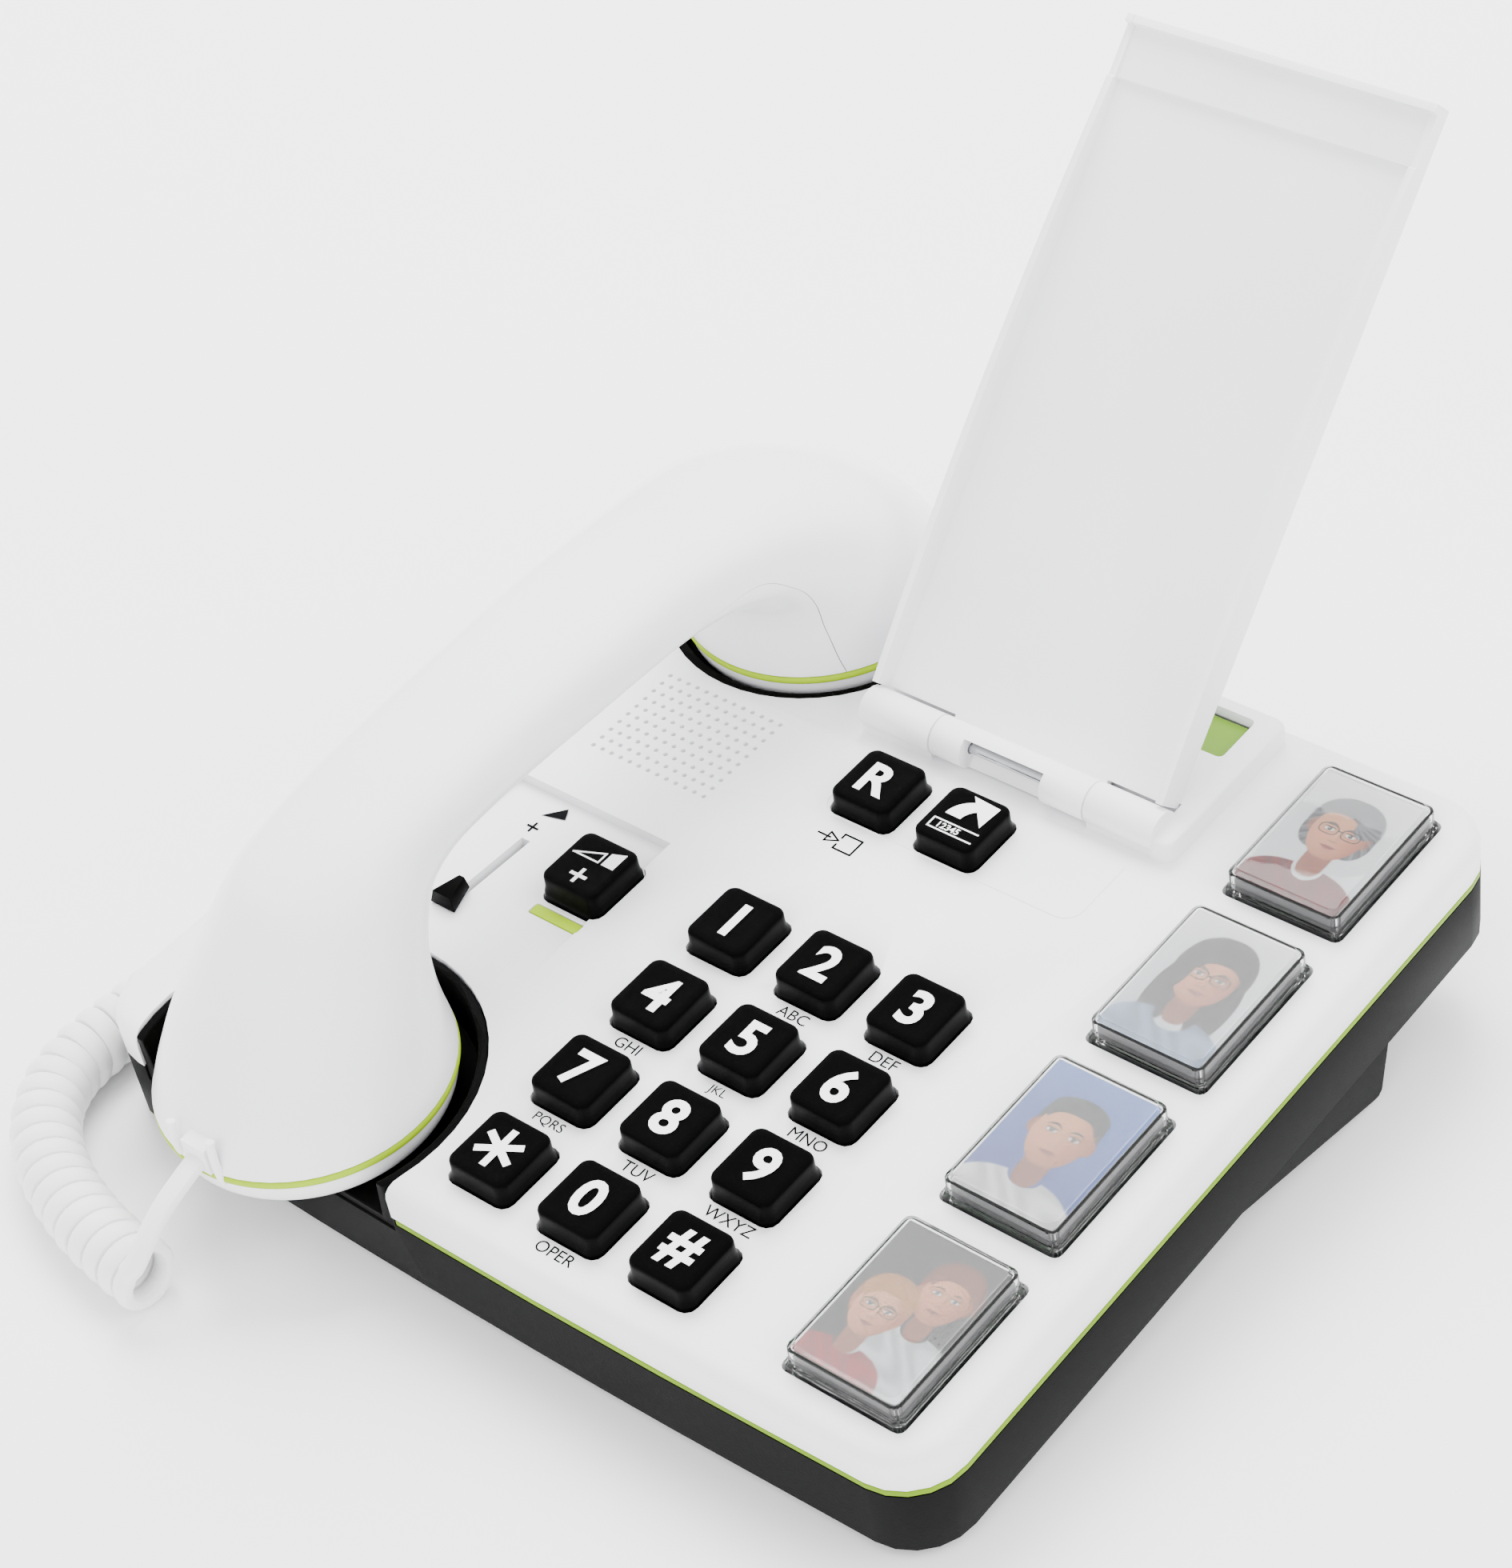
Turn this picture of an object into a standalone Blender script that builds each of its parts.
"""Corded desk telephone with large keys, four picture keys and a fold-over keypad cover.

Sizes are in millimetres and new_object() turns them into metres. The casing is drawn in
its own frame: X to the right, Y to the back, Z out of its top face, with the origin in the
middle of that face. The empty "slab" tilts this frame on its stand and the empty "desk"
centres the telephone over the origin.
"""
import math

import bmesh
import bpy
from mathutils import Matrix, Vector

MM = 0.001
GAP = 0.3                 # between pieces that touch
KEY_GAP = 0.4             # round a key or button, so that it slides

# Casing
TILT = 5.2                # degrees that the rear is raised
CASE_WIDTH = 200.0
CASE_DEPTH = 182.4
CASE_CORNER = 12.0
FRONT_BOW = 2.0           # the front edge bulges by this much
EDGE_ROUND = 3.5
UPPER_DEPTH = 8.5         # height of the upper housing's side
UPPER_WALL = 2.5
BAND_HEIGHT = 1.3
BAND_WIDTH = 1.5
CASE_DEPTH_Z = 26.2       # from the top face to the underside
LOWER_WALL = 3.0
LOWER_EDGE = 1.0
FOOT_DROP = 1.2           # underside's front edge above the desk

# Cradle wells for the handset
HANDSET_X = -CASE_WIDTH / 2 + 47.4
RING_R = 28.8             # radius of the handset's rings, which the wells follow
MOUTH_Y = -79.1
EAR_Y = 75.1
MOUTH_WELL_Y = MOUTH_Y - 1.5
MOUTH_WELL_R = RING_R + 6.7
EAR_WELL_Y = EAR_Y + 0.6
EAR_WELL_R = RING_R + 3.5
# X where the lime band stops, in front and behind, just clear of the wells
BAND_FRONT_END = HANDSET_X + GAP + math.sqrt(
    MOUTH_WELL_R ** 2 - (CASE_DEPTH / 2 + MOUTH_WELL_Y + FRONT_BOW - BAND_WIDTH) ** 2)
BAND_BACK_END = HANDSET_X + 30.6
CRADLE_WALL = 1.8
CRADLE_RIM = -0.5
CRADLE_FLOOR = -10.0
CRADLE_BOTTOM = -12.0

# Keys
KEY_COLUMNS = (-3.77, 17.53, 38.83)
KEY_ROWS = (-11.0, -33.16, -55.31, -77.47)
KEY_NAMES = ("key_1", "key_2", "key_3", "key_4", "key_5", "key_6",
             "key_7", "key_8", "key_9", "key_star", "key_0", "key_hash")
KEY_WIDTH = 13.8
KEY_DEPTH = 14.8
KEY_HEIGHT = 4.9
KEY_CORNER = 2.0
KEY_FLANGE = 0.35
KEY_TRAVEL = 2.0
KEY_BOTTOM = -3.0
RECALL_KEY_AT = (-4.0, 33.2)
REDIAL_KEY_AT = (16.3, 33.2)
AMPLIFY_KEY_AT = (-37.5, -14.2)

# Picture keys
PICTURE_X = CASE_WIDTH / 2 - 21.0
PICTURE_ROWS = (64.3, 20.52, -23.26, -67.04)
PICTURE_WIDTH = 24.1
PICTURE_DEPTH = 34.8
PICTURE_HEIGHT = 5.8
PICTURE_FOOT = 0.6        # the foot is this much larger all round
PICTURE_CORNER = 1.6
COVER_WALL = 0.9
COVER_TOP = 1.3
PRINT_THICK = 0.4

# Volume pocket with its slider, lamp and amplify key
POCKET_LEFT = -72.0
POCKET_RIGHT = -31.7
POCKET_FRONT = -40.7
POCKET_BACK = 2.0
POCKET_DEEP = 2.5
SLIDER_X = -58.6
SLIDER_REST_Y = -31.4
SLIDER_TRAVEL = 18.0
SLIDER_KNOB = (6.4, 7.0, 3.0)
SLIDER_STEM = (1.4, 4.0)
LAMP_SIZE = (12.2, 2.4)
LAMP_AT = (AMPLIFY_KEY_AT[0] - 0.3, AMPLIFY_KEY_AT[1] - KEY_DEPTH / 2 - LAMP_SIZE[1] / 2 - 2.2)

# Hinge and keypad cover
HINGE_Y = 50.5
BARREL_R = 4.2
HINGE_Z = BARREL_R        # the barrel lies on the casing's top face
PIN_R = 1.0
MOVING_LEFT = -1.9
MOVING_RIGHT = 34.5
NOTCH_LEFT = 5.5
NOTCH_RIGHT = 24.5
COVER_CENTRE = 14.9
COVER_WIDTH = 69.2
BARREL_LEFT = COVER_CENTRE - COVER_WIDTH / 2 + 0.4
BARREL_RIGHT = COVER_CENTRE + COVER_WIDTH / 2 + 1.1
COVER_LENGTH = HINGE_Y - KEY_ROWS[-1] + KEY_DEPTH / 2 + 7.53
COVER_OPEN = 45.0         # degrees above the casing's top face, leaning back
COVER_START = BARREL_R + KEY_GAP             # from the hinge's axis to the plate
COVER_PLATE = 2.0
COVER_OUTER = -BARREL_R - 0.2                # the plate runs just outside the barrel
COVER_INNER = COVER_OUTER + COVER_PLATE
COVER_SIDE = 1.5
COVER_SIDE_NEAR = 2.3     # height of the side walls' edge at the hinge
COVER_SIDE_MID = HINGE_Z - 0.4
COVER_SIDE_FAR = 0.1
HEADER_LENGTH = 12.4
HEADER_INNER = HINGE_Z - KEY_HEIGHT - GAP
HEADER_CURB = 0.6         # side walls stand this much above the header
LIP_THICK = 1.9
LIP_HEIGHT = 1.0

# Raised platform behind the hinge, with the help button
PLATFORM_LEFT = COVER_CENTRE - COVER_WIDTH / 2 + 0.1
PLATFORM_RIGHT = COVER_CENTRE + COVER_WIDTH / 2 + 5.0
PLATFORM_FRONT = HINGE_Y - BARREL_R + 0.4
PLATFORM_HEIGHT = 5.0
PLATFORM_CORNER = 2.4
# where the leaning plate's outer face passes the platform's top, and a gap
PLATFORM_SLOT_BACK = HINGE_Y + (PLATFORM_HEIGHT - HINGE_Z) / math.tan(math.radians(COVER_OPEN)) \
    - COVER_OUTER / math.sin(math.radians(COVER_OPEN)) + GAP
HELP_AT = (40.7, CASE_DEPTH / 2 - 12.9)
HELP_SIZE = (16.0, 11.4)
HELP_TOP = 3.0
HELP_BOTTOM = -1.5

# Desk stand: corners of its side view as (y, z), and its feet
STAND_FRONT_Y = -1.8
STAND_LOW = ((45.8, -38.6), (47.6, -38.9), (49.0, -38.0))
STAND_BACK_Y = 51.7
STAND_WALL = 2.5
FOOT_X = CASE_WIDTH / 2 - 18.0
FRONT_FOOT_Y = -CASE_DEPTH / 2 + 13.2
FOOT_R = 7.5
REAR_FOOT_Y = (33.5, 45.5)
REAR_FOOT_WIDTH = 18.0

# Handset: rings and caps at its ends
MOUTH_RING_Z = -1.0
EAR_RING_Z = 2.0
RING_UP = 0.8
RING_DOWN = 1.0
RING_WIDTH = 4.0
CAP_DEPTH = 6.2
CAP_TOP_R = RING_R - 0.6
CAP_LOW_R = RING_R - 4.8
CAP_WALL = 2.4
SHELL_WALL = 2.4
SEAM_GAP = 0.5            # the seam twists, so it is wider than other gaps
MOUTH_FRONT, MOUTH_BACK = MOUTH_Y - RING_R, MOUTH_Y + RING_R
EAR_FRONT, EAR_BACK = EAR_Y - RING_R, EAR_Y + RING_R
# Stations from the mouth end to the ear end. Each is outer edge y, z, inner edge y, z,
# half width, squareness, seam angle in degrees.
HANDSET_STATIONS = (
    (MOUTH_FRONT, 0.1, MOUTH_BACK, 0.1, RING_R, 2.0, -62),
    (MOUTH_FRONT + 3.8, 8.8, MOUTH_BACK - 0.5, 5.0, RING_R - 2.1, 2.0, -60),
    (MOUTH_FRONT + 9.5, 17.4, MOUTH_BACK - 0.9, 10.5, RING_R - 4.3, 2.05, -56),
    (MOUTH_FRONT + 16.6, 26.1, MOUTH_BACK - 0.3, 17.0, RING_R - 6.9, 2.1, -50),
    (MOUTH_FRONT + 24.0, 34.1, MOUTH_BACK + 1.9, 23.0, RING_R - 9.5, 2.25, -42),
    (-76.4, 41.0, -44.4, 28.0, 17.2, 2.35, -36),
    (-64.6, 45.6, -38.0, 30.2, 15.7, 2.5, -30),
    (-50.0, 47.9, -29.5, 30.9, 15.4, 2.6, -28),
    (-33.3, 49.1, -18.0, 31.0, 15.3, 2.7, -27),
    (-12.9, 49.6, -2.0, 31.0, 15.8, 2.8, -27),
    (10.0, 49.8, 10.0, 31.0, 16.3, 2.8, -27),
    (30.0, 48.6, 22.0, 30.6, 16.8, 2.7, -18),
    (48.0, 46.2, 33.0, 29.0, 18.6, 2.6, -4),
    (63.0, 42.6, EAR_FRONT - 5.3, 25.6, RING_R - 7.4, 2.4, -19),
    (EAR_BACK - 26.9, 36.6, EAR_FRONT - 0.7, 21.0, RING_R - 4.2, 2.25, -34),
    (EAR_BACK - 15.4, 28.6, EAR_FRONT + 0.9, 15.6, RING_R - 1.8, 2.1, -42),
    (EAR_BACK - 6.4, 18.6, EAR_FRONT + 0.5, 11.0, RING_R - 0.4, 2.05, -43),
    (EAR_BACK - 1.5, 10.0, EAR_FRONT + 0.1, 6.5, RING_R, 2.0, -42),
    (EAR_BACK, 3.1, EAR_FRONT, 3.1, RING_R, 2.0, -40),
)
STATION_STEPS = 2         # sections for each step between stations
ARC_STEPS = 12            # points along each half of a section
SPEAKER_R = CAP_LOW_R - 7.0
MICROPHONE_R = 4.8
PLUNGER_R = 2.6
NOTCH_X = HANDSET_X + 1.6
NOTCH_WIDTH = 6.6
NOTCH_BACK_Y = MOUTH_FRONT + 7.1
NOTCH_TOP = 6.6

# Cords: hand-placed routes on the desk, in millimetres
CORD_R = 1.7
COIL_R = 7.0
COIL_ROUTE = (
    (-54.6, -124.7), (-64.0, -123.6), (-74.5, -121.6), (-87.5, -117.2), (-98.5, -110.6),
    (-105.8, -102.2), (-109.4, -92.0), (-110.0, -76.0), (-109.6, -52.0), (-109.3, -26.0), (-109.3, 4.0),
)
JACK_Y = 42.0
JACK_Z = -18.0
JACK_SIZE = (10.4, 7.4)
PLUG_OUT = 8.0
PLUG_IN = 9.0

WHITE = "e9e9ea"
DARK = "3a3a3c"
LIME = "a9c62b"
BLACK = "141414"


# ---------------------------------------------------------------- helpers
def finish(name, colour, roughness, metallic=0.0, clear=0.0):
    """A Principled material from an sRGB hex colour."""
    made = bpy.data.materials.new(name)
    made.use_nodes = True
    shader = made.node_tree.nodes["Principled BSDF"]
    channels = [int(colour[i:i + 2], 16) / 255 for i in (0, 2, 4)]
    linear = [c / 12.92 if c <= 0.04045 else ((c + 0.055) / 1.055) ** 2.4 for c in channels]
    shader.inputs["Base Color"].default_value = (*linear, 1.0)
    shader.inputs["Roughness"].default_value = roughness
    shader.inputs["Metallic"].default_value = metallic
    shader.inputs["Transmission Weight"].default_value = clear
    return made


def new_object(name, shape, material=None, parent=None, at=(0.0, 0.0, 0.0), turn=0.0):
    """Name a bmesh drawn in millimetres, place it and turn it about X."""
    bmesh.ops.recalc_face_normals(shape, faces=shape.faces)
    bmesh.ops.scale(shape, vec=(MM, MM, MM), verts=shape.verts)
    mesh = bpy.data.meshes.new(name)
    shape.to_mesh(mesh)
    shape.free()
    return place(name, mesh, material, parent, at, turn)


def place(name, mesh, material, parent, at, turn=0.0):
    """Put a mesh into the scene as an object of its own."""
    if material and not mesh.materials:
        mesh.materials.append(material)
    made = bpy.data.objects.new(name, mesh)
    bpy.context.collection.objects.link(made)
    made.parent = parent
    made.location = Vector(at) * MM
    made.rotation_euler = (math.radians(turn), 0.0, 0.0)
    return made


def combine(body, shapes, operation):
    """Cut, join or trim a body with each shape in turn, and keep the result as its mesh."""
    for shape in shapes:
        tool = new_object("tool", shape, parent=body.parent, at=body.location / MM)
        tool.rotation_euler = body.rotation_euler
        step = body.modifiers.new("step", "BOOLEAN")
        step.operation = operation
        step.object = tool
        bpy.context.view_layer.update()
        seen = body.evaluated_get(bpy.context.evaluated_depsgraph_get())
        mesh = bpy.data.meshes.new_from_object(seen)
        body.modifiers.remove(step)
        body.data = mesh
        bpy.data.objects.remove(tool, do_unlink=True)
    return body


def cut(body, *shapes):
    return combine(body, shapes, "DIFFERENCE")


def fuse(body, *shapes):
    return combine(body, shapes, "UNION")


def trim(body, *shapes):
    return combine(body, shapes, "INTERSECT")


def stack(rings):
    """A closed solid skinned over rings of points, with a flat cap at each end."""
    shape = bmesh.new()
    loops = [[shape.verts.new(point) for point in ring] for ring in rings]
    count = len(loops[0])
    for low, high in zip(loops, loops[1:]):
        for i in range(count):
            j = (i + 1) % count
            shape.faces.new((low[i], low[j], high[j], high[i]))
    shape.faces.new(loops[0][::-1])
    shape.faces.new(loops[-1])
    return shape


def prism(outline, low, high):
    """An outline raised from one height to another."""
    return stack([[(x, y, z) for x, y in outline] for z in (low, high)])


def box(x, y, z):
    """A block between pairs of limits."""
    outline = ((x[0], y[0]), (x[1], y[0]), (x[1], y[1]), (x[0], y[1]))
    return prism(outline, *z)


def circle(radius, centre, steps):
    turns = [2 * math.pi * k / steps for k in range(steps)]
    return [(centre[0] + radius * math.cos(a), centre[1] + radius * math.sin(a)) for a in turns]


def round_rect(width, depth, corner, centre=(0.0, 0.0), steps=3):
    """A rectangle with round corners, anticlockwise from its front right corner."""
    points = []
    for side, end, start in ((1, -1, -90), (1, 1, 0), (-1, 1, 90), (-1, -1, 180)):
        x = centre[0] + side * (width / 2 - corner)
        y = centre[1] + end * (depth / 2 - corner)
        for k in range(steps + 1):
            a = math.radians(start + 90 * k / steps)
            points.append((x + corner * math.cos(a), y + corner * math.sin(a)))
    return points


def turned(profile, centre, steps):
    """A turned solid from (radius, height) pairs that run from one capped end to the other."""
    return stack([[(x, y, z) for x, y in circle(r, centre, steps)] for r, z in profile])


def rod(radius, centre, x_low, x_high, steps=20):
    """A round bar along X, centred on (y, z)."""
    ring = circle(radius, centre, steps)
    return stack([[(x, y, z) for y, z in ring] for x in (x_low, x_high)])


def hoop(profile, centre, steps):
    """A ring from a closed outline of (radius, height) pairs turned round the Z axis."""
    shape = bmesh.new()
    rows = []
    for k in range(steps):
        a = 2 * math.pi * k / steps
        side, end = math.cos(a), math.sin(a)
        rows.append([shape.verts.new((centre[0] + r * side, centre[1] + r * end, z)) for r, z in profile])
    count = len(profile)
    for k in range(steps):
        here, after = rows[k], rows[(k + 1) % steps]
        for i in range(count):
            j = (i + 1) % count
            shape.faces.new((here[i], after[i], after[j], here[j]))
    return shape


def smooth_route(points, steps):
    """Points along a Catmull-Rom curve through the given ones, a few for each stretch."""
    knots = [Vector(p) for p in points]
    knots = [2 * knots[0] - knots[1]] + knots + [2 * knots[-1] - knots[-2]]
    route = []
    for a, b, c, d in zip(knots, knots[1:], knots[2:], knots[3:]):
        for k in range(steps):
            t = k / steps
            route.append(0.5 * (2 * b + (c - a) * t + (2 * a - 5 * b + 4 * c - d) * t ** 2
                                + (3 * b - a - 3 * c + d) * t ** 3))
    return route + [knots[-2]]


# ---------------------------------------------------------------- casing
def case_outline(inset=0.0):
    """The casing seen from above: round corners, straight sides, and a front bowed outwards."""
    corner = max(CASE_CORNER - inset, 1.0)
    half, end = CASE_WIDTH / 2 - inset, CASE_DEPTH / 2 - inset
    plain = round_rect(2 * half, 2 * end, corner, steps=5)
    straight = half - corner
    front = [(-straight + 2 * straight * k / 12, -end) for k in range(1, 12)]
    points = []
    for x, y in plain + front:
        bow = FRONT_BOW * (1 - (x / (CASE_WIDTH / 2)) ** 2) if y < 0 else 0.0
        points.append((x, y - bow))
    return points


def key_outline(gap=0.0):
    side = 2 * (KEY_FLANGE + gap)
    return KEY_WIDTH + side, KEY_DEPTH + side, KEY_CORNER + gap


def key_places():
    places = [(x, y) for y in KEY_ROWS for x in KEY_COLUMNS]
    return places + [RECALL_KEY_AT, REDIAL_KEY_AT, AMPLIFY_KEY_AT]


def pocket_floor(y):
    """Height of the volume pocket's sloping floor."""
    return -POCKET_DEEP * (y - POCKET_FRONT) / (POCKET_BACK - POCKET_FRONT)


def pocket_shape():
    """The wedge of air in the volume pocket."""
    low = [(POCKET_LEFT, POCKET_FRONT, 0.0), (POCKET_RIGHT, POCKET_FRONT, 0.0),
           (POCKET_RIGHT, POCKET_BACK, -POCKET_DEEP), (POCKET_LEFT, POCKET_BACK, -POCKET_DEEP)]
    return stack([low, [(x, y, 1.0) for x, y, _ in low]])


def pocket_floor_plate():
    """The slab of wall that the volume pocket is sunk into."""
    x = (POCKET_LEFT - UPPER_WALL, POCKET_RIGHT + UPPER_WALL)
    rows = ((POCKET_FRONT - UPPER_WALL, -UPPER_WALL), (POCKET_BACK + UPPER_WALL, -POCKET_DEEP - UPPER_WALL))
    low = [(x[0], *rows[0]), (x[1], *rows[0]), (x[1], *rows[1]), (x[0], *rows[1])]
    return stack([low, [(px, py, -UPPER_WALL / 2) for px, py, _ in low]])


def upper_housing(white, slab):
    rings = [(0.0, -UPPER_DEPTH), (0.0, -EDGE_ROUND)]
    for k in range(1, 5):
        a = math.radians(90 * k / 4)
        rings.append((EDGE_ROUND * (1 - math.cos(a)), EDGE_ROUND * (math.sin(a) - 1)))
    body = new_object("upper_housing", stack([[(x, y, z) for x, y in case_outline(inset)] for inset, z in rings]),
                      white, slab)
    back = CASE_DEPTH / 2 - EDGE_ROUND
    width = PLATFORM_RIGHT - PLATFORM_LEFT
    middle = ((PLATFORM_LEFT + PLATFORM_RIGHT) / 2, (PLATFORM_FRONT + back) / 2)
    depth = back - PLATFORM_FRONT
    platform = stack([[(x, y, z) for x, y in round_rect(width - 2 * inset, depth - 2 * inset, PLATFORM_CORNER, middle)]
                      for inset, z in ((0.0, -1.0), (0.0, PLATFORM_HEIGHT - 1.0), (0.3, PLATFORM_HEIGHT - 0.4),
                                       (1.0, PLATFORM_HEIGHT))])
    fuse(body, platform)
    slot = (COVER_CENTRE - COVER_WIDTH / 2 - KEY_GAP, COVER_CENTRE + COVER_WIDTH / 2 + KEY_GAP)
    cut(body, box((slot[0] - 2.0, slot[1]), (PLATFORM_FRONT - 1.0, PLATFORM_SLOT_BACK), (0.0, PLATFORM_HEIGHT + 1.0)))
    for x_low, x_high in ((BARREL_LEFT, MOVING_LEFT - KEY_GAP), (MOVING_RIGHT + KEY_GAP, BARREL_RIGHT)):
        fuse(body, rod(BARREL_R, (HINGE_Y, HINGE_Z), x_low, x_high),
             box((x_low, x_high), (HINGE_Y - BARREL_R + 0.9, HINGE_Y + BARREL_R - 0.9), (-1.0, HINGE_Z - 1.0)))
    cut(body, prism(case_outline(UPPER_WALL), -UPPER_DEPTH - 1.0, -UPPER_WALL))
    fuse(body, pocket_floor_plate())
    inside = round_rect(width - 2 * UPPER_WALL, back - PLATFORM_SLOT_BACK - 2 * UPPER_WALL, 1.0,
                        (middle[0], (PLATFORM_SLOT_BACK + back) / 2))
    cut(body, prism(inside, -UPPER_WALL - 1.0, PLATFORM_HEIGHT - UPPER_WALL))
    cut(body, rod(BARREL_R + KEY_GAP, (HINGE_Y, HINGE_Z), MOVING_LEFT - KEY_GAP, MOVING_RIGHT + KEY_GAP),
        rod(PIN_R + GAP, (HINGE_Y, HINGE_Z), BARREL_LEFT + 1.0, BARREL_RIGHT - 1.0, 12))
    for centre_y, radius in ((MOUTH_WELL_Y, MOUTH_WELL_R), (EAR_WELL_Y, EAR_WELL_R)):
        cut(body, prism(circle(radius, (HANDSET_X, centre_y), 48), -UPPER_DEPTH - 2.0, 2.0))
    cut(body, pocket_shape())
    width, depth, corner = key_outline(KEY_GAP)
    for x, y in key_places():
        cut(body, prism(round_rect(width, depth, corner, (x, y)), -UPPER_DEPTH, 2.0))
    width = PICTURE_WIDTH + 2 * (PICTURE_FOOT + KEY_GAP)
    depth = PICTURE_DEPTH + 2 * (PICTURE_FOOT + KEY_GAP)
    for y in PICTURE_ROWS:
        cut(body, prism(round_rect(width, depth, PICTURE_CORNER, (PICTURE_X, y)), -UPPER_DEPTH, 2.0))
    cut(body, prism(round_rect(HELP_SIZE[0] + 2 * KEY_GAP, HELP_SIZE[1] + 2 * KEY_GAP, 1.2, HELP_AT), -3.5, 6.0))
    cut(body, prism(round_rect(LAMP_SIZE[0] + 2 * GAP, LAMP_SIZE[1] + 2 * GAP, 0.5, LAMP_AT), -6.0, 1.0))
    stem = (SLIDER_STEM[0] / 2 + KEY_GAP, SLIDER_STEM[1] / 2 + KEY_GAP)
    cut(body, box((SLIDER_X - stem[0], SLIDER_X + stem[0]),
                  (SLIDER_REST_Y - stem[1], SLIDER_REST_Y + SLIDER_TRAVEL + stem[1]), (-7.0, 1.0)))
    return body


def band_shape(outside, inside, low, high, clearance):
    """The strip between two insets of the casing's outline, open on the handset's side."""
    front_x, back_x = BAND_FRONT_END - clearance, BAND_BACK_END - clearance
    strip = []
    for inset in (outside, inside):
        points = case_outline(inset)
        front = sorted(p for p in points if p[1] < 0 and p[0] > front_x + 1.0)
        back = sorted((p for p in points if p[1] > 0 and p[0] > 0), key=lambda p: (-p[0], p[1]))
        bow = FRONT_BOW * (1 - (front_x / (CASE_WIDTH / 2)) ** 2)
        first = (front_x, -CASE_DEPTH / 2 + inset - bow)
        strip.append([first, *front, *back, (back_x, CASE_DEPTH / 2 - inset)])
    return prism(strip[0] + strip[1][::-1], low, high)


def accent_band(lime, slab):
    low = -UPPER_DEPTH - GAP - BAND_HEIGHT
    return new_object("accent_band", band_shape(0.0, BAND_WIDTH, low, -UPPER_DEPTH - GAP, 0.0), lime, slab)


def lower_housing(dark, slab):
    top = -UPPER_DEPTH - GAP
    rings = ((LOWER_EDGE, -CASE_DEPTH_Z), (0.0, -CASE_DEPTH_Z + LOWER_EDGE), (0.0, top))
    body = new_object("lower_housing", stack([[(x, y, z) for x, y in case_outline(i)] for i, z in rings]), dark, slab)
    cut(body, prism(case_outline(LOWER_WALL), -CASE_DEPTH_Z + LOWER_WALL, top + 1.0))
    cut(body, band_shape(-2.0, BAND_WIDTH + GAP, top - BAND_HEIGHT - GAP, top + 1.0, GAP))
    for centre_y, radius in ((MOUTH_WELL_Y, MOUTH_WELL_R), (EAR_WELL_Y, EAR_WELL_R)):
        cut(body, prism(circle(radius, (HANDSET_X, centre_y), 48), CRADLE_BOTTOM - GAP, 2.0))
    side, up = JACK_SIZE[0] / 2 + GAP, JACK_SIZE[1] / 2 + GAP
    cut(body, box((-CASE_WIDTH / 2 - 2.0, -CASE_WIDTH / 2 + LOWER_WALL + 2.0),
                  (JACK_Y - side, JACK_Y + side), (JACK_Z - up, JACK_Z + up)))
    return body


def cradle(name, centre_y, well_r, dark, slab):
    """A dark cup under one end of the handset, cut off where it meets the casing's edge."""
    outer = well_r - GAP
    inner = outer - CRADLE_WALL
    profile = ((outer, CRADLE_BOTTOM), (outer, CRADLE_RIM), (inner, CRADLE_RIM), (inner - 1.0, CRADLE_FLOOR))
    body = new_object(name, turned(profile, (HANDSET_X, centre_y), 48), dark, slab)
    return trim(body, prism(case_outline(GAP), CRADLE_BOTTOM - 2.0, 3.0))


def stand(dark, slab):
    """The wedge that raises the rear of the casing, hollow above."""
    top = -CASE_DEPTH_Z - GAP
    side = [(STAND_FRONT_Y, top), *STAND_LOW, (STAND_BACK_Y, top)]
    half = CASE_WIDTH / 2 - LOWER_EDGE
    body = new_object("desk_stand", stack([[(x, y, z) for y, z in side] for x in (-half, half)]), dark, slab)
    low_y, low_z = STAND_LOW[0]
    inner = [(STAND_FRONT_Y + 4 * STAND_WALL, top + 1.0), (low_y, low_z + STAND_WALL),
             (STAND_LOW[-1][0] - STAND_WALL, STAND_LOW[-1][1] + STAND_WALL), (STAND_BACK_Y - STAND_WALL, top + 1.0)]
    half -= STAND_WALL
    return cut(body, stack([[(x, y, z) for y, z in inner] for x in (-half, half)]))


def desk_height(y):
    """Height of the desk below the casing, in the casing's own frame."""
    t = math.radians(TILT)
    return -CASE_DEPTH_Z - (FOOT_DROP + (y + CASE_DEPTH / 2) * math.sin(t)) / math.cos(t)


def feet(rubber, slab):
    low_y, low_z = STAND_LOW[0]
    top = -CASE_DEPTH_Z - GAP
    slope = (low_z - top) / (low_y - STAND_FRONT_Y)
    for side, x in (("left", -FOOT_X), ("right", FOOT_X)):
        ring = circle(FOOT_R, (x, FRONT_FOOT_Y), 24)
        front = stack([[(px, py, desk_height(py)) for px, py in ring], [(px, py, top) for px, py in ring]])
        new_object("foot_front_" + side, front, rubber, slab)
        pad = round_rect(REAR_FOOT_WIDTH, REAR_FOOT_Y[1] - REAR_FOOT_Y[0], 2.0, (x, sum(REAR_FOOT_Y) / 2))
        rear = stack([[(px, py, desk_height(py)) for px, py in pad],
                      [(px, py, top + slope * (py - STAND_FRONT_Y) - GAP) for px, py in pad]])
        new_object("foot_rear_" + side, rear, rubber, slab)


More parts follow.
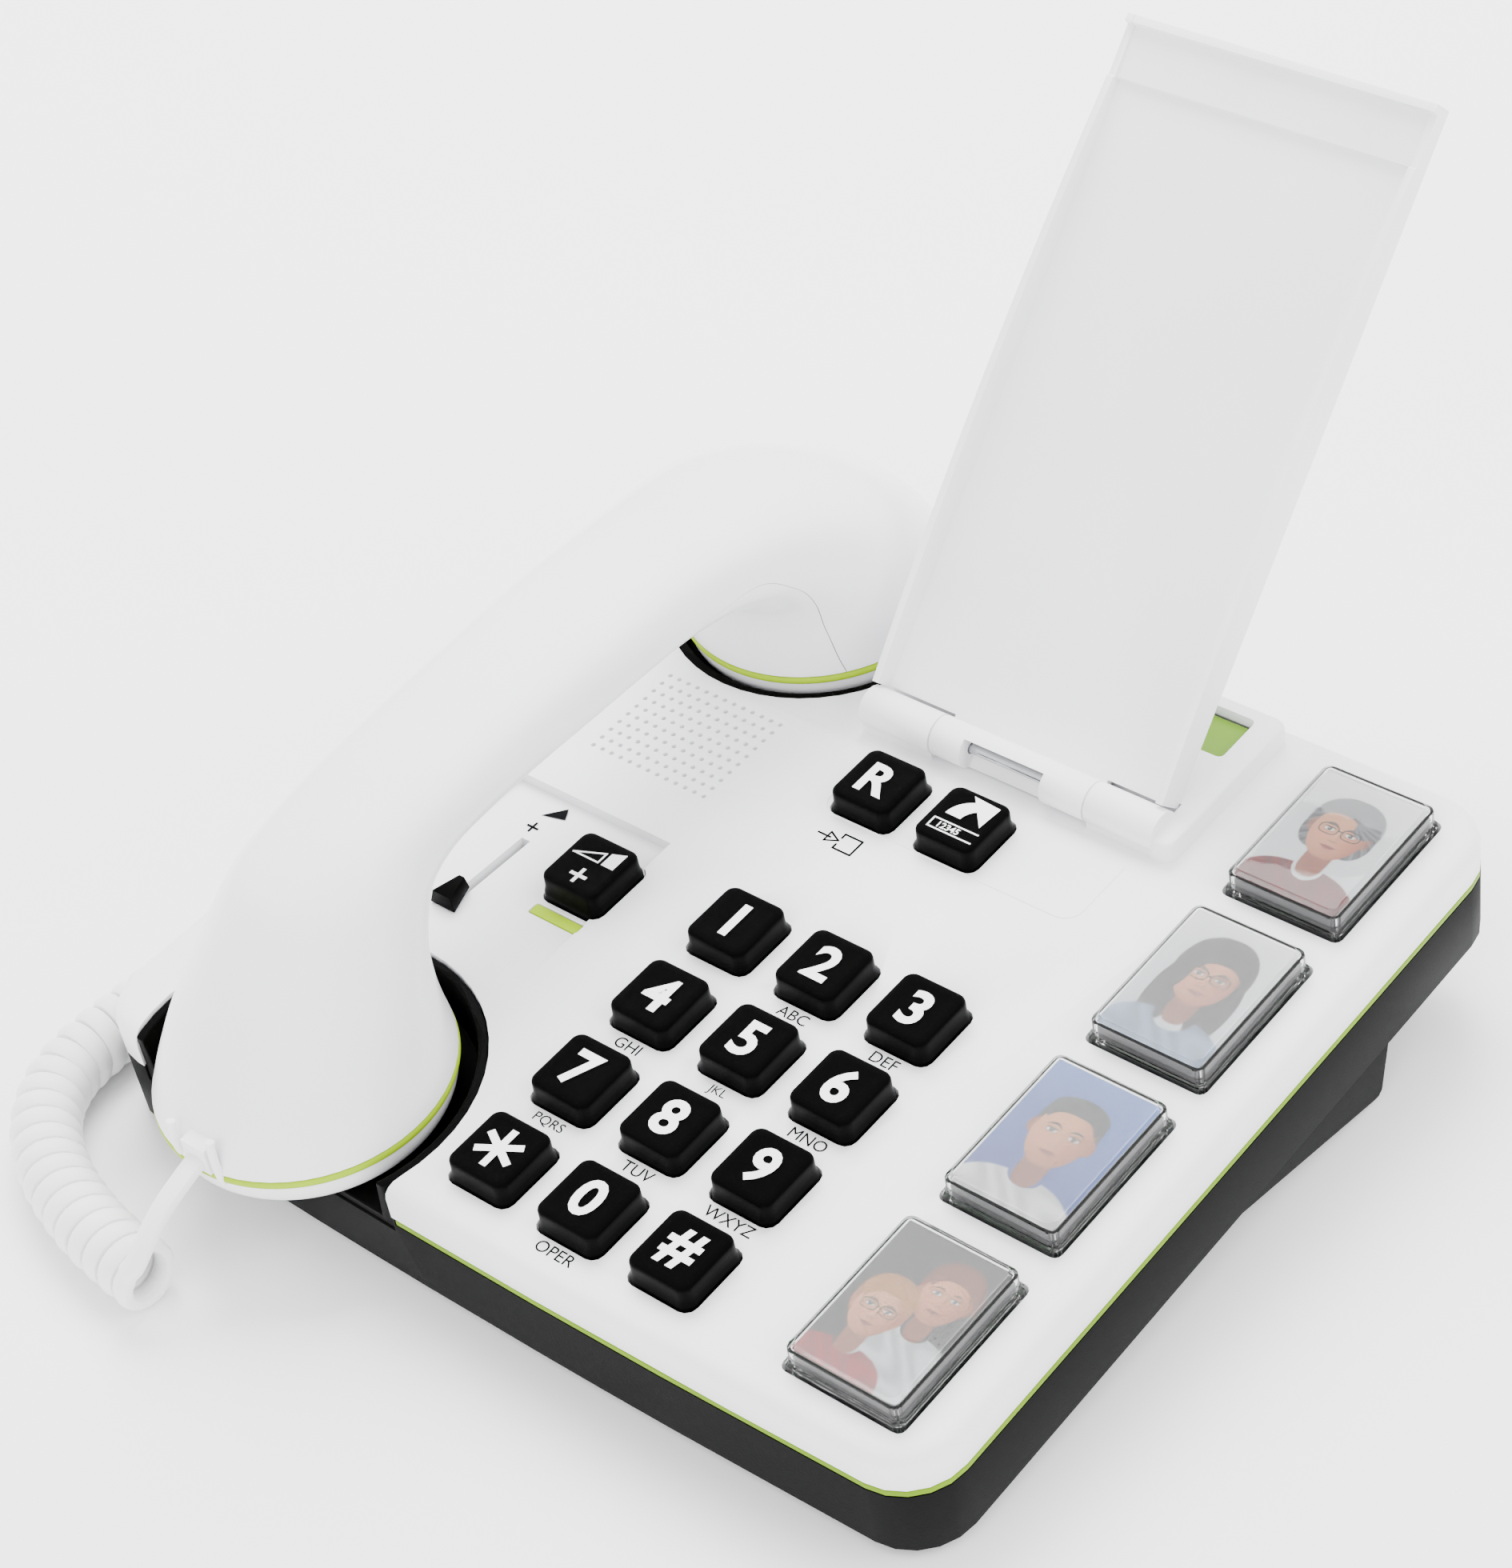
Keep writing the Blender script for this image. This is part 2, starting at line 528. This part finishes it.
# ---------------------------------------------------------------- keys
def key_shape():
    """A key with a flange at its foot, a slight waist and a bevelled top."""
    rings = []
    for inset, z in ((0.0, KEY_BOTTOM), (0.0, 0.9), (KEY_FLANGE + 0.25, 1.7),
                     (KEY_FLANGE, KEY_HEIGHT - 0.8), (KEY_FLANGE + 0.2, KEY_HEIGHT - 0.3),
                     (KEY_FLANGE + 0.8, KEY_HEIGHT)):
        width, depth, corner = key_outline(-inset)
        rings.append([(x, y, z) for x, y in round_rect(width, depth, corner)])
    return stack(rings)


def keys(black, slab):
    names = KEY_NAMES + ("recall_key", "redial_key", "amplify_key")
    mesh = new_object("pattern", key_shape())
    for name, (x, y) in zip(names, key_places()):
        place(name, mesh.data, black, slab, (x, y, 0.0))
    bpy.data.objects.remove(mesh, do_unlink=True)


def picture_keys(grey, card, clear, slab):
    """Each picture key is a grey base, a printed card and a clear cover over both."""
    foot = (PICTURE_WIDTH + 2 * PICTURE_FOOT, PICTURE_DEPTH + 2 * PICTURE_FOOT)
    hollow = (PICTURE_WIDTH - 2 * COVER_WALL, PICTURE_DEPTH - 2 * COVER_WALL)
    base = (hollow[0] - 2 * GAP, hollow[1] - 2 * GAP)
    under_top = PICTURE_HEIGHT - COVER_TOP
    shell = [(foot[0], foot[1], KEY_BOTTOM + 0.4), (foot[0], foot[1], 0.8),
             (PICTURE_WIDTH, PICTURE_DEPTH, 1.4), (PICTURE_WIDTH, PICTURE_DEPTH, PICTURE_HEIGHT - 1.1),
             (PICTURE_WIDTH - 2.2, PICTURE_DEPTH - 2.2, PICTURE_HEIGHT)]
    card_low = under_top - GAP - PRINT_THICK
    for number, y in enumerate(PICTURE_ROWS, 1):
        at = (PICTURE_X, y, 0.0)
        rings = [[(px, py, z) for px, py in round_rect(w, d, PICTURE_CORNER)] for w, d, z in shell]
        cover = new_object(f"picture_cover_{number}", stack(rings), clear, slab, at)
        cut(cover, prism(round_rect(*hollow, 0.8), KEY_BOTTOM - 1.0, under_top))
        new_object(f"picture_base_{number}", prism(round_rect(*base, 0.7), KEY_BOTTOM, card_low - GAP), grey, slab, at)
        new_object(f"picture_print_{number}", prism(round_rect(*base, 0.5), card_low, card_low + PRINT_THICK),
                   card, slab, at)


def help_button(green, slab):
    rings = [[(x, y, z) for x, y in round_rect(HELP_SIZE[0] - 2 * i, HELP_SIZE[1] - 2 * i, 0.9)]
             for i, z in ((0.0, HELP_BOTTOM), (0.0, HELP_TOP - 0.5), (0.5, HELP_TOP))]
    new_object("help_button", stack(rings), green, slab, (*HELP_AT, 0.0))


def volume_slider(black, slab):
    """A wedge-shaped knob on a stem that passes through the slot."""
    width, depth, height = SLIDER_KNOB
    tip = depth / 2
    outline = ((-width / 2, -tip), (width / 2, -tip), (0.9, tip), (-0.9, tip))
    knob = stack([[(x, y, 0.0) for x, y in outline], [(x * 0.75, y * 0.85, height) for x, y in outline]])
    body = new_object("volume_slider", knob, black, slab, (SLIDER_X, SLIDER_REST_Y, 0.0))
    stem = SLIDER_STEM
    fuse(body, box((-stem[0] / 2, stem[0] / 2), (-stem[1] / 2, stem[1] / 2), (-5.0, 0.6)))


def lamp_strip(lime, slab):
    floor = pocket_floor(LAMP_AT[1])
    new_object("lamp_strip", prism(round_rect(*LAMP_SIZE, 0.4), floor - 3.0, floor + 0.15), lime, slab, (*LAMP_AT, 0.0))


# ---------------------------------------------------------------- keypad cover
def side_edge(s):
    """Height of the cover's side walls: deepest in the middle, shallow at the far end."""
    t = (s - COVER_START) / (COVER_LENGTH - HEADER_LENGTH - COVER_START)
    plain = COVER_SIDE_NEAR + (COVER_SIDE_FAR - COVER_SIDE_NEAR) * t
    rise = COVER_SIDE_MID - (COVER_SIDE_NEAR + COVER_SIDE_FAR) / 2
    return plain + 4 * rise * t * (1 - t)


def keypad_cover(white, slab):
    """A shallow tray on the hinge: drawn flat along Y from the axis, then leaned back."""
    half = COVER_WIDTH / 2
    inner = half - COVER_SIDE

    def ring(s, edge, floor):
        return [(x + COVER_CENTRE, s, z) for x, z in (
            (-half, COVER_OUTER), (half, COVER_OUTER), (half, edge), (inner, edge),
            (inner, floor), (-inner, floor), (-inner, edge), (-half, edge))]

    header = COVER_LENGTH - HEADER_LENGTH
    lip = COVER_LENGTH - LIP_THICK
    stations = [COVER_START + (header - COVER_START) * k / 12 for k in range(13)]
    rings = [ring(s, side_edge(s), COVER_INNER) for s in stations]
    curb = HEADER_INNER + HEADER_CURB
    rings += [ring(header + 0.3, curb, HEADER_INNER), ring(lip, curb, HEADER_INNER),
              ring(lip + 0.3, LIP_HEIGHT + 0.1, LIP_HEIGHT), ring(COVER_LENGTH, LIP_HEIGHT - 0.2, LIP_HEIGHT - 0.3)]
    at = (0.0, HINGE_Y, HINGE_Z)
    body = new_object("keypad_cover", stack(rings), white, slab, at, COVER_OPEN)
    fuse(body, rod(BARREL_R, (0.0, 0.0), MOVING_LEFT, MOVING_RIGHT),
         box((MOVING_LEFT, MOVING_RIGHT), (0.0, COVER_START + 1.0), (COVER_OUTER, COVER_INNER)))
    cut(body, rod(PIN_R + GAP, (0.0, 0.0), MOVING_LEFT - 1.0, MOVING_RIGHT + 1.0, 12),
        box((NOTCH_LEFT, NOTCH_RIGHT), (-BARREL_R - 1.0, 1.4), (-1.8, BARREL_R + 1.0)))


def hinge_pin(steel, slab):
    new_object("hinge_pin", rod(PIN_R, (0.0, 0.0), BARREL_LEFT + 1.3, BARREL_RIGHT - 1.3, 12), steel, slab,
               (0.0, HINGE_Y, HINGE_Z))


# ---------------------------------------------------------------- handset
def section_point(station, angle, wall):
    """A point on a superellipse across the handset, pulled in by the wall's thickness."""
    out_y, out_z, in_y, in_z, half, square, _ = station
    centre = Vector((HANDSET_X, (out_y + in_y) / 2, (out_z + in_z) / 2))
    across = Vector((0.0, out_y - in_y, out_z - in_z))
    height = across.length / 2
    across.normalize()
    side, up = math.cos(angle), math.sin(angle)
    x = math.copysign(abs(side) ** (2 / square), side) * (half - wall)
    z = math.copysign(abs(up) ** (2 / square), up) * (height - wall)
    return centre + Vector((x, 0.0, 0.0)) + across * z


def stations():
    return [tuple(s) for s in smooth_rows(HANDSET_STATIONS, STATION_STEPS)]


def smooth_rows(rows, steps):
    """Rows of numbers run through a Catmull-Rom curve, number by number."""
    padded = [[2 * a - b for a, b in zip(rows[0], rows[1])], *rows,
              [2 * a - b for a, b in zip(rows[-1], rows[-2])]]
    smooth = []
    for a, b, c, d in zip(padded, padded[1:], padded[2:], padded[3:]):
        for k in range(steps):
            t = k / steps
            smooth.append([0.5 * (2 * q + (r - p) * t + (2 * p - 5 * q + 4 * r - s) * t ** 2
                                  + (3 * q - p - 3 * r + s) * t ** 3) for p, q, r, s in zip(a, b, c, d)])
    return smooth + [list(rows[-1])]


def half_shell(upper):
    """One half of the handset's hollow body, split along the seam angle of each station."""
    rings = []
    for station in stations():
        seam = math.radians(station[6])
        slack = SEAM_GAP / (2 * station[4])
        low, high = seam + slack, math.pi - seam - slack
        if not upper:
            low, high = high + 2 * slack, 2 * math.pi + seam - slack
        angles = [low + (high - low) * k / ARC_STEPS for k in range(ARC_STEPS + 1)]
        outer = [section_point(station, a, 0.0) for a in angles]
        inner = [section_point(station, a, SHELL_WALL) for a in angles]
        rings.append(outer + inner[::-1])
    return stack(rings)


def notch(low, high):
    """The gap in the mouth end's rim that the cord comes out of."""
    x = (NOTCH_X - NOTCH_WIDTH / 2, NOTCH_X + NOTCH_WIDTH / 2)
    return box(x, (MOUTH_Y - RING_R - 5.0, NOTCH_BACK_Y), (low, high))


def handset(white, lime, dark, slab):
    front = new_object("handset_front_shell", half_shell(True), white, slab)
    cut(front, notch(MOUTH_RING_Z, NOTCH_TOP))
    new_object("handset_back_shell", half_shell(False), white, slab)
    for name, y, ring_z in (("mouth", MOUTH_Y, MOUTH_RING_Z), ("ear", EAR_Y, EAR_RING_Z)):
        centre = (HANDSET_X, y)
        top, low = ring_z + RING_UP, ring_z - RING_DOWN
        profile = ((RING_R - RING_WIDTH, low), (RING_R - 0.2, low), (RING_R + 0.15, low + 0.5),
                   (RING_R + 0.15, top - 0.5), (RING_R - 0.2, top), (RING_R - RING_WIDTH, top))
        new_object(name + "_ring", hoop(profile, centre, 48), lime, slab)
        rim = low - GAP
        cap_profile = ((CAP_LOW_R - CAP_WALL, rim - CAP_DEPTH), (CAP_LOW_R, rim - CAP_DEPTH + 0.5),
                       (CAP_TOP_R - 1.2, rim - 3.0), (CAP_TOP_R, rim), (CAP_TOP_R - CAP_WALL, rim),
                       (CAP_LOW_R - CAP_WALL, rim - CAP_DEPTH + CAP_WALL))
        new_object(name + "_cap", turned(cap_profile, centre, 48), white, slab)
    on_cap = CAP_WALL - RING_DOWN - CAP_DEPTH      # from a ring's middle to its cap's inner face
    low = EAR_RING_Z + on_cap
    magnet_r = SPEAKER_R - 6.0
    new_object("earpiece_speaker", turned(((SPEAKER_R, low), (SPEAKER_R, low + 5.0), (magnet_r, low + 5.6),
                                           (magnet_r, low + 9.0)), (HANDSET_X, EAR_Y), 24), dark, slab)
    low = MOUTH_RING_Z + on_cap
    new_object("microphone_capsule", turned(((MICROPHONE_R, low), (MICROPHONE_R, low + 5.4)), (HANDSET_X, MOUTH_Y), 20),
               dark, slab)


def hook_switch(dark, slab):
    """The plunger under the ear end, held down by the handset's cap."""
    top = EAR_RING_Z - RING_DOWN - GAP - CAP_DEPTH - GAP
    new_object("hook_switch", turned(((PLUNGER_R, CRADLE_BOTTOM - 4.0), (PLUNGER_R, top - 0.8),
                                      (PLUNGER_R - 0.8, top)), (HANDSET_X, EAR_WELL_Y), 16), dark, slab)


# ---------------------------------------------------------------- inside
def inside_pieces(rubber, board, dark, slab):
    mat_top = KEY_BOTTOM - KEY_TRAVEL - 0.4
    mat_low = mat_top - 2.6
    side, end = KEY_WIDTH / 2 + 1.5, KEY_DEPTH / 2 + 1.1
    new_object("key_mat", box((KEY_COLUMNS[0] - side, KEY_COLUMNS[-1] + side),
                              (KEY_ROWS[-1] - end, KEY_ROWS[0] + end), (mat_low, mat_top)), rubber, slab)
    board_top = mat_low - GAP
    right, front, back = CASE_WIDTH / 2 - 6.0, 7.2 - CASE_DEPTH / 2, CASE_DEPTH / 2 - 6.2
    outline = ((-14.5, front), (right, front), (right, back), (-14.5, back), (-14.5, 6.0), (-70.0, 6.0),
               (-70.0, -40.0), (-14.5, -40.0))
    new_object("circuit_board", prism(outline, board_top - 1.6, board_top), board, slab)
    new_object("loudspeaker", turned(((9.0, -19.0), (9.0, -13.0), (16.5, -8.0), (16.5, -2.8)), (-49.2, 24.6), 28),
               dark, slab)


# ---------------------------------------------------------------- cords
def coil_solid(white, desk):
    """One fat tube of the coiled cord's outer diameter, lying on the desk."""
    height = COIL_R + 0.1
    route = smooth_route([(x, y, height) for x, y in COIL_ROUTE], 3)
    rings = []
    for i, point in enumerate(route):
        ahead = (route[min(i + 1, len(route) - 1)] - route[max(i - 1, 0)]).normalized()
        side = ahead.cross(Vector((0, 0, 1))).normalized()
        rings.append([point + side * COIL_R * math.cos(a) + Vector((0, 0, COIL_R * math.sin(a)))
                      for a in (math.radians(30 * k) for k in range(12))])
    new_object("handset_cord_coil", stack(rings), white, desk)


def strand(name, points, material, desk):
    """A straight stretch of cord: a round tube along a smooth curve through its route."""
    line = bpy.data.curves.new(name, "CURVE")
    line.dimensions = "3D"
    route = smooth_route(points, 4)
    path = line.splines.new("POLY")
    path.points.add(len(route) - 1)
    for spot, point in zip(path.points, route):
        spot.co = (*(point * MM), 1.0)
    line.bevel_depth = CORD_R * MM
    line.bevel_resolution = 2
    line.use_fill_caps = True
    line.materials.append(material)
    made = bpy.data.objects.new(name, line)
    bpy.context.collection.objects.link(made)
    made.parent = desk


def on_desk(point):
    """A point of the casing's frame, in the desk's frame."""
    corner = Vector((0.0, -CASE_DEPTH / 2, -CASE_DEPTH_Z))
    turned_point = Matrix.Rotation(math.radians(TILT), 3, "X") @ (Vector(point) - corner)
    return turned_point + Vector((0.0, -CASE_DEPTH / 2, FOOT_DROP))


def cords(white, clear, slab, desk):
    coil_solid(white, desk)
    half = NOTCH_WIDTH / 2 - GAP
    plug_front, plug_low = MOUTH_FRONT - 0.4, MOUTH_RING_Z + RING_UP + GAP
    new_object("handset_plug", box((NOTCH_X - half, NOTCH_X + half), (plug_front, NOTCH_BACK_Y - GAP),
                                   (plug_low, NOTCH_TOP - GAP)), white, slab)
    middle = (plug_low + NOTCH_TOP - GAP) / 2
    end_x, end_y = COIL_ROUTE[0]
    strand("handset_cord_strand", [on_desk((NOTCH_X, plug_front - 3 * GAP, middle - 0.6)), (end_x + 3.4, end_y + 10.2, 26.4),
                                   (end_x + 3.0, end_y + 4.8, 23.2), (end_x + 2.6, end_y + 0.1, 18.9),
                                   (end_x + 2.3, end_y - 3.0, 14.8), (end_x + 2.1, end_y - 4.2, 11.6)], white, desk)
    side = -CASE_WIDTH / 2
    width, height = JACK_SIZE
    new_object("base_plug", box((side - PLUG_OUT, side + PLUG_IN), (JACK_Y - width / 2, JACK_Y + width / 2),
                                (JACK_Z - height / 2, JACK_Z + height / 2)), clear, slab)
    exit_point = on_desk((side - PLUG_OUT - GAP, JACK_Y, JACK_Z))
    far_x, far_y = COIL_ROUTE[-1]
    strand("base_cord_strand", [exit_point, exit_point + Vector((-4.5, -0.6, -0.4)),
                                exit_point + Vector((-7.4, -5.0, -3.0)), (far_x - 6.4, far_y + 22.0, 12.6),
                                (far_x - 2.4, far_y + 10.0, 11.4), (far_x, far_y + 4.0, 11.6),
                                (far_x, far_y + GAP, 12.0)], white, desk)


# ---------------------------------------------------------------- assembly
def centre_on_origin(desk, loose):
    """Move the desk frame so that the telephone stands over the origin, cords not counted."""
    bpy.context.view_layer.update()
    graph = bpy.context.evaluated_depsgraph_get()
    low, high = Vector((9.0, 9.0, 9.0)), Vector((-9.0, -9.0, -9.0))
    for item in bpy.data.objects:
        if item.type == "EMPTY" or item.name in loose:
            continue
        seen = item.evaluated_get(graph)
        for corner in seen.data.vertices if item.type == "MESH" else []:
            point = seen.matrix_world @ corner.co
            low = Vector(map(min, low, point))
            high = Vector(map(max, high, point))
    desk.location = (-(low.x + high.x) / 2, -(low.y + high.y) / 2, -low.z)


def build():
    for item in list(bpy.data.objects):
        bpy.data.objects.remove(item, do_unlink=True)
    desk = bpy.data.objects.new("desk", None)
    slab = bpy.data.objects.new("slab", None)
    for empty in (desk, slab):
        bpy.context.collection.objects.link(empty)
    slab.parent = desk
    slab.rotation_euler = (math.radians(TILT), 0.0, 0.0)
    slab.location = on_desk((0.0, 0.0, 0.0)) * MM

    white = finish("white_abs", WHITE, 0.3)
    dark = finish("textured_dark_abs", DARK, 0.6)
    lime = finish("lime_abs", LIME, 0.4)
    black = finish("black_key_abs", BLACK, 0.4)
    rubber = finish("rubber", "2b2b2b", 0.8)
    steel = finish("steel", "c9cccf", 0.25, metallic=1.0)
    card = finish("photo_card", "b8c4d8", 0.5)
    clear = finish("clear_acrylic", "f5f7f8", 0.05, clear=0.9)
    board = finish("board_laminate", "2f6b3c", 0.5)

    upper_housing(white, slab)
    accent_band(lime, slab)
    lower_housing(dark, slab)
    cradle("mouth_cradle", MOUTH_WELL_Y, MOUTH_WELL_R, dark, slab)
    ear = cradle("ear_cradle", EAR_WELL_Y, EAR_WELL_R, dark, slab)
    cut(ear, prism(circle(PLUNGER_R + KEY_GAP, (HANDSET_X, EAR_WELL_Y), 16), CRADLE_BOTTOM - 1.0, CRADLE_FLOOR + 1.0))
    stand(dark, slab)
    feet(rubber, slab)
    keys(black, slab)
    picture_keys(dark, card, clear, slab)
    help_button(lime, slab)
    volume_slider(black, slab)
    lamp_strip(lime, slab)
    keypad_cover(white, slab)
    hinge_pin(steel, slab)
    handset(white, lime, dark, slab)
    hook_switch(dark, slab)
    inside_pieces(rubber, board, dark, slab)
    cords(white, clear, slab, desk)
    loose = {"handset_plug", "base_plug", "handset_cord_coil", "handset_cord_strand", "base_cord_strand"}
    centre_on_origin(desk, loose)
    for item in bpy.data.objects:
        if item.type == "MESH":
            item.data.shade_smooth()
            item.data.set_sharp_from_angle(angle=math.radians(35))


build()
